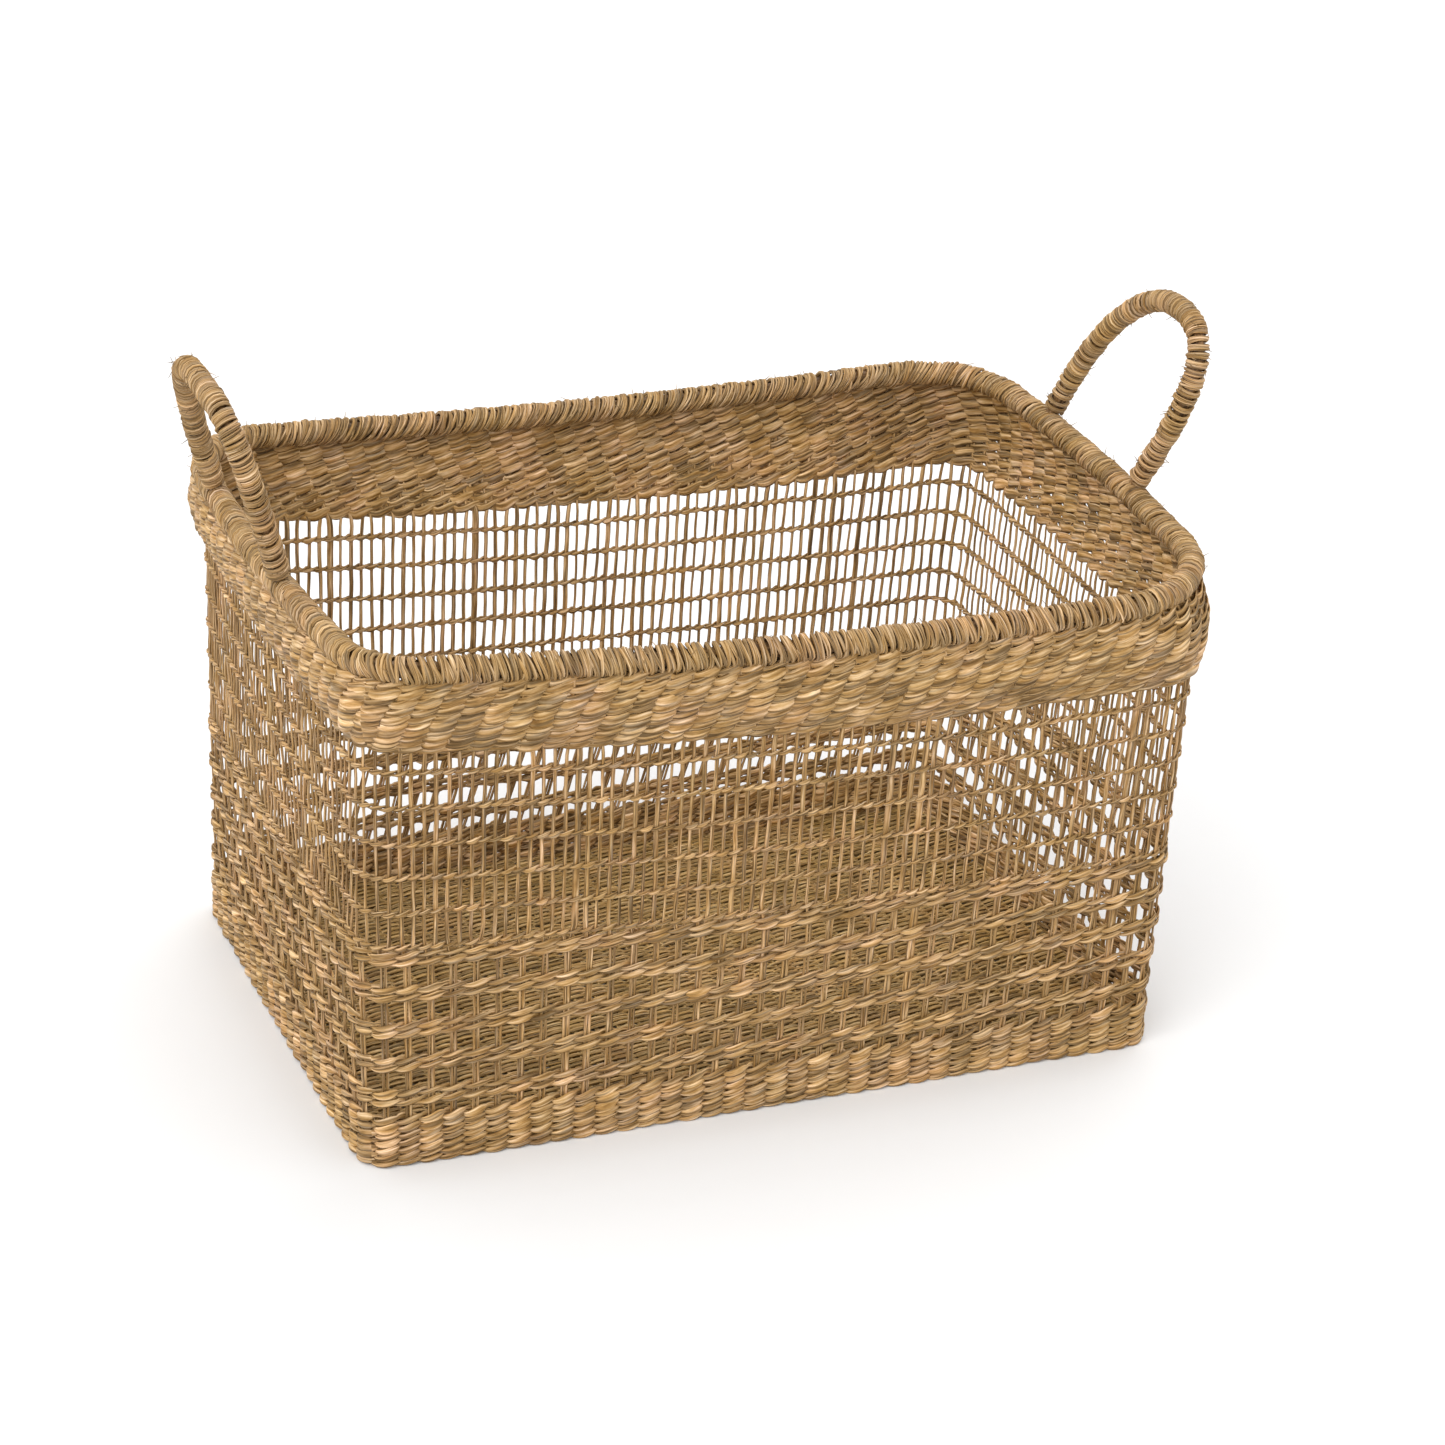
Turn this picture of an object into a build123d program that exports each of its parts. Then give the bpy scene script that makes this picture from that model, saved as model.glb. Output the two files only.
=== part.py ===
"""A seagrass storage basket: twined walls on upright stakes, a wrapped rim and two wrapped loop handles.

Millimetres, +Z up. The long side lies along X and the front faces -Y.
The origin is the centre of the underside.
Every wall part follows one outline, eight tangent arcs whose sizes change with the height.
"""
from build123d import *

import math
import os

# The wall's middle surface at four heights: half length, half depth, how far the sides bow out,
# and corner radii counterclockwise from the front right.
BASE = dict(z=0, half_x=217, half_y=144, bow_x=1, bow_y=1, corners=(14, 14, 14, 14))
KNEE = dict(z=223.5, half_x=228.5, half_y=145.5, bow_x=3, bow_y=6, corners=(22, 22, 22, 18))
BELLY = dict(z=247.5, half_x=237.5, half_y=155.5, bow_x=3.5, bow_y=8, corners=(44, 40, 37, 23))
RIM = dict(z=272, half_x=234.5, half_y=154, bow_x=4, bow_y=9.5, corners=(66, 57, 52, 28))
LEVELS = (BASE, KNEE, BELLY, RIM)
CORNER_SIGNS = ((1, -1), (1, 1), (-1, 1), (-1, -1))

# Dense bands and base mat.
BAND_HALF = 3.2
LOWER_BAND_TOP = 27
UPPER_BAND_TOP = 265
BASE_MAT_THICKNESS = 5
CLEARANCE = 0.3

# Stakes: flat strips in pairs, close together at the foot and evenly spread at the knee.
STAKE_WIDTH = 2.6
STAKE_THICKNESS = 1.5
STAKE_FOOT_Z = LOWER_BAND_TOP + CLEARANCE
STAKE_TOP_Z = KNEE["z"] - CLEARANCE
FOOT_SPREAD = 1.45
TOP_SPREAD = 2.9
WALL_PAIRS = dict(front=37, right=23, back=37, left=23)

# Twined rows: one strand outside the stakes and one inside them.
STRAND_THICKNESS = 2
STRAND_GAP = 1.2
STRAND_HEIGHT = 3.4
SINGLE_ROWS = 6
SINGLE_ROW_STEP = 18.2
TOP_SINGLE_ROW_Z = 211
DOUBLE_ROWS = 5
DOUBLE_ROW_STEP = 19
TOP_DOUBLE_ROW_Z = 113.5
DOUBLE_ROW_HALF_STEP = 1.9

# Rim and handles: stiff round cores inside a wrapping.
RIM_CORE_RADIUS = 2.9
RIM_WRAP_RADIUS = 6.8
HANDLE_CORE_RADIUS = 2.4
HANDLE_WRAP_RADIUS = 6.2
WRAP_FIT = 0.1
HANDLE_REACH = 29
HANDLE_FOOT_X = RIM["half_x"] - 1.5
HANDLE_FOOT = 4.8
HANDLE_WRAP_FOOT = 10
BORE_TOP = 12
LEFT_HANDLE = dict(side=-1, centre_y=11.5, half_span=60, shoulder=61, rise=91, shift=-19, bend=44)
RIGHT_HANDLE = dict(side=1, centre_y=18, half_span=47.5, shoulder=56, rise=93, shift=-25, bend=46)


def outline_size(z):
    """The outline's sizes at a height, in proportion between the named heights."""
    low, high = next((low, high) for low, high in zip(LEVELS, LEVELS[1:]) if z <= high["z"])
    share = (z - low["z"]) / (high["z"] - low["z"])
    size = {key: low[key] + (high[key] - low[key]) * share for key in low if key != "corners"}
    size["corners"] = [a + (b - a) * share for a, b in zip(low["corners"], high["corners"])]
    return size


def bowed_radius(half_chord, bow):
    """The radius of an arc with that half chord and bow."""
    return (half_chord**2 + bow**2) / (2 * bow)


def corner_centre(long_radius, short_radius, size, corner):
    """A corner arc's centre in the +X +Y quarter, where it touches both side arcs from inside."""
    long_centre = Vector(0, size["half_y"] - long_radius)
    short_centre = Vector(size["half_x"] - short_radius, 0)
    long_reach = long_radius - corner
    short_reach = short_radius - corner
    line = short_centre - long_centre
    along = (long_reach**2 - short_reach**2 + line.length**2) / (2 * line.length)
    across = math.sqrt(long_reach**2 - along**2)
    unit = line.normalized()
    meets = [long_centre + unit * along + Vector(-unit.Y, unit.X) * across * sign for sign in (1, -1)]
    return max(meets, key=lambda point: point.X + point.Y)


def outline_arcs(z):
    """The outline's arcs, counterclockwise from the front: centre, radius, first angle and last angle."""
    size = outline_size(z)
    long_radius = bowed_radius(size["half_x"], size["bow_x"])
    short_radius = bowed_radius(size["half_y"], size["bow_y"])
    long_y = long_radius - size["half_y"]
    short_x = short_radius - size["half_x"]
    corners = []
    for quarter, (radius, (sign_x, sign_y)) in enumerate(zip(size["corners"], CORNER_SIGNS)):
        centre = corner_centre(long_radius, short_radius, size, radius)
        off_long = math.degrees(math.atan2(centre.X, centre.Y + long_y))
        off_short = math.degrees(math.atan2(centre.Y, centre.X + short_x))
        before, after = (off_short, off_long) if quarter % 2 else (off_long, off_short)
        start = 90 * quarter - 90
        place = Vector(sign_x * centre.X, sign_y * centre.Y, z)
        corners.append((place, radius, start + before, start + 90 - after))
    sides = [((0, long_y), long_radius), ((-short_x, 0), short_radius)]
    sides += [((0, -long_y), long_radius), ((short_x, 0), short_radius)]
    arcs = []
    for number, (centre, radius) in enumerate(sides):
        first = corners[number - 1][3] - (0 if number else 360)
        arcs.append((Vector(*centre, z), radius, first, corners[number][2]))
        arcs.append(corners[number])
    return arcs


def outline(z, offset=0):
    """The closed outline at a height, moved outwards by an offset."""
    edges = []
    for centre, radius, first, last in outline_arcs(z):
        plane = Plane(centre)
        edges.append(plane * CenterArc((0, 0), radius + offset, first, last - first))
    return Wire(edges)


def ring(z, height, inner, outer):
    """An upright ring with its foot at z, between two offsets from the outline at its middle height."""
    section = outline_at(z, z + height / 2, outer) - outline_at(z, z + height / 2, inner)
    return extrude(section, height, dir=(0, 0, 1))


def outline_at(z, sized_at, offset):
    """A flat face at z with the outline of another height."""
    return Face(outline(sized_at, offset)).moved(Location((0, 0, z - sized_at)))


def flared_ring(low, high, half):
    """A ring between two heights that follows the wall's slope."""
    outer, inner = (
        loft([Face(outline(low, offset)), Face(outline(high, offset))]) for offset in (half, -half)
    )
    return outer - inner


def wall_point(arcs, wall, share, spread):
    """A point part of the way along a wall, corner to corner, and the outward direction there."""
    corner_before, side, corner_after = (arcs[(2 * wall + step) % 8] for step in (-1, 0, 1))
    middle_before = (corner_before[2] + corner_before[3]) / 2
    middle_after = (corner_after[2] + corner_after[3]) / 2
    first_half = (*corner_before[:2], middle_before, corner_before[3])
    stretches = [first_half, side, (*corner_after[:3], middle_after)]
    lengths = [radius * math.radians(last - first) for _, radius, first, last in stretches]
    distance = share * sum(lengths) + spread
    number = 0
    while distance > lengths[number]:
        distance -= lengths[number]
        number += 1
    centre, radius, first, _ = stretches[number]
    angle = math.radians(first) + distance / radius
    outward = Vector(math.cos(angle), math.sin(angle))
    return centre + outward * radius, outward


def stake(wall, share, side):
    """One straight stake from the lower band to the upper band, on one side of its pair's middle."""
    foot, outward = wall_point(outline_arcs(STAKE_FOOT_Z), wall, share, FOOT_SPREAD * side)
    top, _ = wall_point(outline_arcs(STAKE_TOP_Z), wall, share, TOP_SPREAD * side)
    rise = top - foot
    plane = Plane(origin=foot, x_dir=rise.cross(outward), z_dir=rise)
    return extrude(plane * Rectangle(STAKE_WIDTH, STAKE_THICKNESS), rise.length)


def wall_stakes(wall, pairs):
    """The stakes of one wall, two to each pair."""
    shares = [(pair + 0.5) / pairs for pair in range(pairs)]
    return Compound(children=[stake(wall, share, side) for share in shares for side in (-1, 1)])


def twined_row(heights):
    """A row's strands: at each height one hoop outside the stakes and one inside them."""
    near, far = STRAND_GAP, STRAND_GAP + STRAND_THICKNESS
    hoops = []
    for z in heights:
        foot = z - STRAND_HEIGHT / 2
        hoops.append(ring(foot, STRAND_HEIGHT, near, far))
        hoops.append(ring(foot, STRAND_HEIGHT, -far, -near))
    return Compound(children=[hoop.solid() for hoop in hoops])


def rim_tube(outer, inner=0):
    """A round bar or tube along the rim."""
    path = outline(RIM["z"])
    section = Circle(outer) - Circle(inner) if inner else Circle(outer)
    plane = Plane(origin=path @ 0, z_dir=path % 0)
    return sweep(plane * section, path=path)


def handle_plane(handle):
    """The leaning plane of a loop: x along the row of its feet, y up the lean, origin between the feet."""
    side = handle["side"]
    lean = Vector(side * HANDLE_REACH, 0, handle["rise"])
    origin = Vector(side * HANDLE_FOOT_X, handle["centre_y"], RIM["z"])
    return Plane(origin=origin, x_dir=(0, 1, 0), z_dir=Vector(0, 1, 0).cross(lean))


def handle_leg(handle, side, distance):
    """A point on a leg of the loop, that far above the rim's middle, in the loop's own plane."""
    height = math.hypot(HANDLE_REACH, handle["rise"])
    foot = Vector(side * handle["half_span"], 0)
    shoulder = Vector(side * handle["shoulder"] + handle["shift"], height)
    return foot + (shoulder - foot).normalized() * distance, shoulder


def handle_tube(handle, distance, outer, inner=0):
    """A bar or tube round the loop, its two ends that far above the rim's middle."""
    front_foot, front_shoulder = handle_leg(handle, -1, distance)
    back_foot, back_shoulder = handle_leg(handle, 1, distance)
    route = FilletPolyline(front_foot, front_shoulder, back_shoulder, back_foot, radius=handle["bend"])
    path = handle_plane(handle) * route
    section = Circle(outer) - Circle(inner) if inner else Circle(outer)
    start = Plane(origin=path @ 0, z_dir=path % 0)
    return sweep(start * section, path=path)


def handle_bores(handle):
    """The two holes that the loop's core needs through the rim's wrapping."""
    plane = handle_plane(handle)
    bores = []
    for side in (-1, 1):
        low, high = (plane.from_local_coords(handle_leg(handle, side, end)[0]) for end in (0, BORE_TOP))
        section = Plane(origin=low, z_dir=high - low) * Circle(HANDLE_CORE_RADIUS + WRAP_FIT)
        bores.append(extrude(section, BORE_TOP))
    return bores


def rim_wrap():
    """The rim's wrapping, a tube round its core, open where the handles' cores go in."""
    wrap = rim_tube(RIM_WRAP_RADIUS, RIM_CORE_RADIUS + WRAP_FIT)
    for handle in (LEFT_HANDLE, RIGHT_HANDLE):
        for bore in handle_bores(handle):
            wrap -= bore
    return wrap


def basket_nodes():
    """Every node of the basket by name."""
    band_inside = outline_at(0, LOWER_BAND_TOP / 2, -BAND_HALF)
    swelling = flared_ring(KNEE["z"], BELLY["z"], BAND_HALF)
    closing = flared_ring(BELLY["z"], UPPER_BAND_TOP, BAND_HALF)
    nodes = {
        "base_mat": extrude(band_inside, BASE_MAT_THICKNESS, dir=(0, 0, 1)),
        "lower_band": ring(0, LOWER_BAND_TOP, -BAND_HALF, BAND_HALF),
        "upper_band": swelling + closing,
        "rim_core": rim_tube(RIM_CORE_RADIUS),
        "rim_wrap": rim_wrap(),
    }
    for number in range(DOUBLE_ROWS):
        middle = TOP_DOUBLE_ROW_Z - DOUBLE_ROW_STEP * number
        heights = (middle - DOUBLE_ROW_HALF_STEP, middle + DOUBLE_ROW_HALF_STEP)
        nodes[f"double_row_{number + 1}"] = twined_row(heights)
    for number in range(SINGLE_ROWS):
        nodes[f"single_row_{number + 1}"] = twined_row([TOP_SINGLE_ROW_Z - SINGLE_ROW_STEP * number])
    for wall, (name, pairs) in enumerate(WALL_PAIRS.items()):
        nodes[f"stakes_{name}"] = wall_stakes(wall, pairs)
    for name, handle in (("left", LEFT_HANDLE), ("right", RIGHT_HANDLE)):
        nodes[f"handle_core_{name}"] = handle_tube(handle, HANDLE_FOOT, HANDLE_CORE_RADIUS)
        bore = HANDLE_CORE_RADIUS + WRAP_FIT
        nodes[f"handle_wrap_{name}"] = handle_tube(handle, HANDLE_WRAP_FOOT, HANDLE_WRAP_RADIUS, bore)
    return nodes


os.makedirs("parts", exist_ok=True)
for node_name, shape in basket_nodes().items():
    export_step(shape, f"parts/{node_name}.step")
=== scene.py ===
import math

import bpy
import numpy as np
from mathutils import Matrix, Vector


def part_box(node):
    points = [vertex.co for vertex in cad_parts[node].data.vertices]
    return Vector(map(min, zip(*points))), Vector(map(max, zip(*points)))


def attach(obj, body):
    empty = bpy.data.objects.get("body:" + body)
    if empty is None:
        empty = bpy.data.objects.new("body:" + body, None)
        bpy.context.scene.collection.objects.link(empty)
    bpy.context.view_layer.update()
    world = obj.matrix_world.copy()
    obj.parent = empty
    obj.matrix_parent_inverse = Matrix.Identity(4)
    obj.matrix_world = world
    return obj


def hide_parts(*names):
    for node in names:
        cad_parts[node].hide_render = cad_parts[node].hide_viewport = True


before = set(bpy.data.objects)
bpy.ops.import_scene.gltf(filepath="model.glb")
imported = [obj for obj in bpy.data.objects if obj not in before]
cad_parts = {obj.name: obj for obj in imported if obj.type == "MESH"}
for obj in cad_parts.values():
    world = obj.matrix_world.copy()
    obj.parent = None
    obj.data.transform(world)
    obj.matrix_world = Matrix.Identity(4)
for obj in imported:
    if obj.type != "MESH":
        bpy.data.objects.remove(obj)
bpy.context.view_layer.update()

# A seagrass basket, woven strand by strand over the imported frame. Lengths are in millimetres, and meshes
# are scaled to metres as they are made. Only the camera, the floor and the lights are in metres.
# A place round the wall is counted in pairs of stakes, counterclockwise from the middle of the front left
# corner. Every strand is a flat tube that follows a path.
MM = 0.001
rng = np.random.default_rng(11)

WALL_PAIRS = dict(front=37, right=23, back=37, left=23)
PAIRS = sum(WALL_PAIRS.values())
SINGLE_ROWS = 6
DOUBLE_ROWS = 5

# The wall at the foot, at the knee below the upper band, and at the rim: corner radii counterclockwise from
# the front right, with each corner's side in x and y, and how far the sides bow out.
OUTLINE_Z = (0, 223.5, 272)
CORNER_RADII = ((14, 22, 66), (14, 22, 57), (14, 22, 52), (14, 18, 28))
CORNER_SIGNS = ((1, -1), (1, 1), (-1, 1), (-1, -1))
BOW_LONG = (1, 3, 4)
BOW_SHORT = (1, 6, 9.5)

# The unevenness of hand weaving: how high each corner stands at those heights, counterclockwise from the
# front left, how far the long sides hang down in the middle, how far the upper band swells out, and how far
# in pairs the stakes low on the back lean over.
CORNER_RISE = ((0, 6, 1), (0, -10.5, -9), (0, -1.5, 4), (0, 5, 0))
SAG = (0, 7.5, 6.5)
SWELL = 6
BACK_SKEW = 2.8

# Half the thickness of each CAD wall node, which its box includes.
BAND_HALF = 3.2
ROW_HALF = 3.2
RIM_CORE_RADIUS = 2.9

# Strips of the stakes: a few coarse ones are wider, and all are narrower where their pair is closed. Each
# leaves its pair at its own height near the top double row, and the pairs close partly in the upper band.
# The ranges are heights from that row and from the knee. A stake strays in waves, each of some cycles up
# the wall and an amount in pairs.
STAKE_BOTTOM = 2.5
STAKE_TOP_INSET = 3
STAKE_LEVELS = 58
STAKE_WIDTHS = (1.6, 2.5)
STAKE_THICKNESS = 1.15
COARSE_SHARE = 0.1
COARSE_EXTRA = 1.2
CLOSED_WIDTH = 0.84
OPEN_WIDTH = 1.04
WIDTH_RIPPLE = 0.08
WIDTH_RIPPLE_LENGTH = 17
OPENING_RANGE = (-6, 5)
OPENING_JITTER = 1.5
CLOSING_RANGE = (-6, 8)
BAND_OPENING = 0.45
STAKE_WAVES = ((1.3, 0.028), (3.1, 0.018), (6.3, 0.01))
STRAY_VARIATION = 0.4
STAKE_TILT = 0.25
STAKE_SHADE = 0.1
SHADE_RIPPLE = 0.04
SHADE_RIPPLE_LENGTH = 23
STAKE_BULGE = 0.25
BULGE_PERIOD = 18.1

# Twined rows: each strand's width and thickness, how far it stands off the wall's middle, how far it climbs
# and falls, the rings in one stride, and how far the row strays from its height.
SINGLE_STRAND = dict(width=2.5, depth=1.1, lift=1.2, rise=0.7, rings=6, waver=0.5)
DOUBLE_STRAND = dict(width=3.9, depth=1.3, lift=1.4, rise=1.0, rings=9, waver=0.35, favour=0.07)
UPPER_STRAND = dict(width=5.5, depth=1.25, lift=1.35, rise=1.35, rings=9, waver=0.25, narrow=0.75)
BORDER_STRAND = dict(width=3.6, depth=2.2, lift=1.6, rise=0.8, rings=8, waver=0.05)
LOWER_STRAND = dict(width=4.7, depth=1.5, lift=1.9, rise=1.1, rings=9, waver=0.2, favour=0.1)
LOWER_TOP_STRAND = dict(width=4.7, depth=1.5, lift=1.8, rise=1.5, rings=9, waver=0.3, favour=0.08)
DOUBLE_HALF_STEP = 2.05
TOP_DOUBLE_HALF_STEP = 1.9
UPPER_ROWS = 10
UPPER_INSETS = (1.6, 0.8)
UPPER_SHIFT = -0.13
BORDER_Z = 2.1
LOWER_ROWS = 5
LOWER_INSET = 5.6
LOWER_TOP_INSET = 1.8

# Where along one pass a strand is widest, how much the passes differ in reach, width and shade, and how much
# of the favour goes to the strand's width.
LEAF_PEAK = 0.68
PASS_REACH = 0.12
PASS_WIDTH = 0.14
PASS_SHADE = 0.08
FAVOUR_WIDTH = 0.6

# Base mat: rows along the base over strips that run across it, how far both stay inside its box, and the
# radius of its corners.
MAT_ROWS = 69
MAT_ROW_INSET = 1.5
MAT_PASSES = 36
MAT_RINGS = 5
MAT_CORNER = 17
MAT_STRAND_WIDTH = 3.3
MAT_STRAND_DEPTH = 1.3
MAT_LIFT = 0.95
MAT_RISE = 0.75
MAT_WARPS = 72
MAT_WARP_RINGS = 12
MAT_WARP_INSETS = (6, 1)
MAT_WARP_WIDTH = 2.6
MAT_WARP_DEPTH = 0.9

# Wrappings: strands side by side, wider than their share of the turn that they fill together. The lean
# slants each turn, and the bar is the core inside.
WRAP_STRANDS = 3
WRAP_RINGS = 12
WRAP_DEPTH = 2.2
WRAP_OVERLAP = 1.3
RIM_TURN = 4.5
RIM_LEAN = 2.6
RIM_ENDS = 320
RIM_BAR_RADIUS = 4.2
RIM_POINTS = 961

# Loose fibre ends: their range of lengths, the width and depth at the root and at the tip, how deep the root
# lies, how far they turn from the wrapping's direction along the path and outwards, and how far a tip curls.
END_LENGTHS = (2, 6)
END_WIDTHS = (0.6, 0.2)
END_DEPTHS = (0.5, 0.2)
END_POINTS = 5
END_ROOT = 0.5
END_ALONG = 0.6
END_OUTWARD = (0.1, 0.7)
END_CURL = 0.8
END_SHADES = (0.8, 1.2)

# Handles: how far the top leans out, their wrapping, and the shape of each loop in its leaning plane. The
# front and back foot are places round the rim. A power below one squares the loop off, the shift moves its
# top along the row of its feet, and the belly widens it above them.
HANDLE_REACH = 29
HANDLE_TUBE = 6.1
HANDLE_TURN = 4.2
HANDLE_LEAN = 1.0
HANDLE_ENDS = 100
HANDLE_BAR_RADIUS = 3.6
HANDLE_WRAP_TRIM = 8.5
HANDLE_BAR_TRIM = 1
HANDLE_POINTS = 241
LEFT_HANDLE = dict(side=-1, feet=(112.22, 102.61), rise=91.2, power=0.625, shift=-18.6, belly=0.01)
RIGHT_HANDLE = dict(side=1, feet=(46.01, 53.76), rise=93, power=0.88, shift=-25.7, belly=0.235)

SECTION_POINTS = 6
UP = (0.0, 0.0, 1.0)

# Where an arc has its radius and its first and last angle, after its centre's x and y.
RADIUS, FIRST, LAST = 2, 3, 4

# Colours of the dark to the pale streaks, the slow changes of tone over them, and a tint for each use.
STRAW_STOPS = (
    (0.3, (0.14, 0.068, 0.012)),
    (0.43, (0.32, 0.18, 0.057)),
    (0.55, (0.465, 0.3, 0.142)),
    (0.7, (0.71, 0.52, 0.33)),
)
TONE_STOPS = ((0.34, (0.9, 0.87, 0.73)), (0.5, (1, 0.985, 0.95)), (0.66, (1.1, 1.05, 1.08)))
TWINED_TINT = (1, 1, 1)
STRIP_TINT = (0.94, 0.92, 0.9)
MAT_TINT = (0.95, 0.96, 0.8)
WRAP_TINT = (0.95, 0.96, 0.98)
CANE_TINT = (0.55, 0.48, 0.42)
GRASS_ROUGHNESS = 0.62
CANE_ROUGHNESS = 0.5
GRASS_SPECULAR = 0.3
POLISH = 0.12
CORE_SHADE = 0.8
WARP_SHADE = 0.85

# Noise: how fast it changes along and across a strand, and over the whole basket. The painted shade in the
# furrows and the polish each follow a range of the ridges' noise, and the ridges' height is in metres.
STREAK_SCALE = (0.06, 8.0)
RIDGE_SCALE = (0.03, 7.0)
PATCH_SCALE = 42.0
PAINTED_SHADE_NOISE = (0.36, 0.54)
PAINTED_FURROW_SHADE = (0.42, 1.12)
POLISH_NOISE = (0.3, 0.7)
RIDGE_HEIGHT = 0.001

# Stage and camera. Each sun has a name, a place that it shines from and a strength.
FLOOR_SIZE = 14
FLOOR_COLOUR = (0.71, 0.71, 0.71, 1)
FLOOR_ROUGHNESS = 0.9
SKY_STRENGTH = 1.17
SUNS = (("key", (-2.1, -1.0, 2.1), 1.7), ("back", (1.0, 1.5, 2.4), 0.7))
SUN_ANGLE = 50
CAMERA_PLACE = (-0.7138, -1.6573, 1.0059)
CAMERA_AZIMUTH = -23.92
CAMERA_ELEVATION = 25.35
CAMERA_ROLL = 3.71
CAMERA_LENS = 94.85
CAMERA_FAR = 50


# Frame sizes


def node_box(node):
    """A CAD node's lowest and highest corners in millimetres."""
    low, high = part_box(node)
    return np.array(low) / MM, np.array(high) / MM


def node_middle(node):
    """The height of a CAD node's middle."""
    low, high = node_box(node)
    return (low[2] + high[2]) / 2


KNEE_Z = node_box("upper_band")[0][2]
OPEN_Z = node_box("double_row_1")[1][2]


def wall_levels():
    """Height, half length and half depth of the wall's middle surface, from the nodes round the wall."""
    rows = [f"double_row_{number}" for number in range(DOUBLE_ROWS, 0, -1)]
    rows += [f"single_row_{number}" for number in range(SINGLE_ROWS, 0, -1)]
    nodes = [("lower_band", BAND_HALF), *((row, ROW_HALF) for row in rows), ("rim_core", RIM_CORE_RADIUS)]
    levels = []
    for node, half in nodes:
        low, high = node_box(node)
        half_x, half_y = (high[:2] - low[:2]) / 2 - half
        levels.append((node_middle(node), half_x, half_y))
    foot, row = np.array(levels[0]), np.array(levels[-2])
    knee = row + (row - foot) * (KNEE_Z - row[0]) / (row[0] - foot[0])
    return np.array(levels[:-1] + [knee, levels[-1]])


LEVELS = wall_levels()
RIM_Z = LEVELS[-1, 0]


def half_size(z, column):
    """Half the length or depth at a height, which the column of the levels names.

    It is straight between the levels, and swells out between the knee and the rim.
    """
    share = np.clip((z - KNEE_Z) / (RIM_Z - KNEE_Z), 0, 1)
    return np.interp(z, LEVELS[:, 0], LEVELS[:, column]) + SWELL * 4 * share * (1 - share)


# The wall as a surface


def bowed_radius(half_chord, bow):
    """The radius of an arc with that half chord and bow."""
    return (half_chord**2 + bow**2) / (2 * bow)


def corner_arc(quarter, z, half_x, half_y, long_radius, short_radius):
    """A corner arc, which touches both side arcs from inside.

    It is the centre's x and y, the radius, and the first and last angle.
    """
    corner = np.interp(z, OUTLINE_Z, CORNER_RADII[quarter])
    long_y, short_x = long_radius - half_y, short_radius - half_x
    long_reach, short_reach = long_radius - corner, short_radius - corner
    line = np.hypot(short_x, long_y)
    along = (long_reach**2 - short_reach**2 + line**2) / (2 * line)
    across = np.sqrt(long_reach**2 - along**2)
    x = (-short_x * along + long_y * across) / line
    y = -long_y + (long_y * along + short_x * across) / line
    off_long, off_short = np.arctan2(x, y + long_y), np.arctan2(y, x + short_x)
    before, after = (off_short, off_long) if quarter % 2 else (off_long, off_short)
    start = math.pi / 2 * (quarter - 1)
    sign_x, sign_y = CORNER_SIGNS[quarter]
    return sign_x * x, sign_y * y, corner, start + before, start + math.pi / 2 - after


def outline_arcs(z):
    """The outline's eight arcs for an array of heights, counterclockwise from the front."""
    half_x, half_y = half_size(z, 1), half_size(z, 2)
    long_radius = bowed_radius(half_x, np.interp(z, OUTLINE_Z, BOW_LONG))
    short_radius = bowed_radius(half_y, np.interp(z, OUTLINE_Z, BOW_SHORT))
    corners = [corner_arc(quarter, z, half_x, half_y, long_radius, short_radius) for quarter in range(4)]
    zero, long_y, short_x = np.zeros_like(z), long_radius - half_y, short_radius - half_x
    sides = (
        (zero, long_y, long_radius),
        (-short_x, zero, short_radius),
        (zero, -long_y, long_radius),
        (short_x, zero, short_radius),
    )
    arcs = []
    for number, side in enumerate(sides):
        before, after = corners[number - 1], corners[number]
        first = before[LAST] - (0 if number else 2 * math.pi)
        arcs += [(*side, first, after[FIRST]), after]
    return np.array(arcs)


def pick(table, number):
    """From a table's first axis, the entry that each number names."""
    index = number.reshape((1,) * (table.ndim - number.ndim) + number.shape)
    return np.take_along_axis(table, index, axis=0)[0]


def stretch_arcs(arcs, number):
    """A wall's three arcs: half of the corner before it, its side, and half of the corner after it."""
    before, side, after = (pick(arcs, (2 * number + step) % 8) for step in (-1, 0, 1))
    stretch = np.stack([before, side, after])
    stretch[0, FIRST] = (before[FIRST] + before[LAST]) / 2
    stretch[2, LAST] = (after[FIRST] + after[LAST]) / 2
    return stretch


def unevenness(number, share, z):
    """How far a wall stands above its even height, at a share of its length."""
    rises = np.array([np.interp(z, OUTLINE_Z, rise) for rise in CORNER_RISE])
    start, end = (pick(rises, (number + step) % 4) for step in (0, 1))
    hang = np.interp(z, OUTLINE_Z, SAG) * 4 * share * (1 - share) * (number % 2 == 0)
    return start + (end - start) * share - hang


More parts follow.
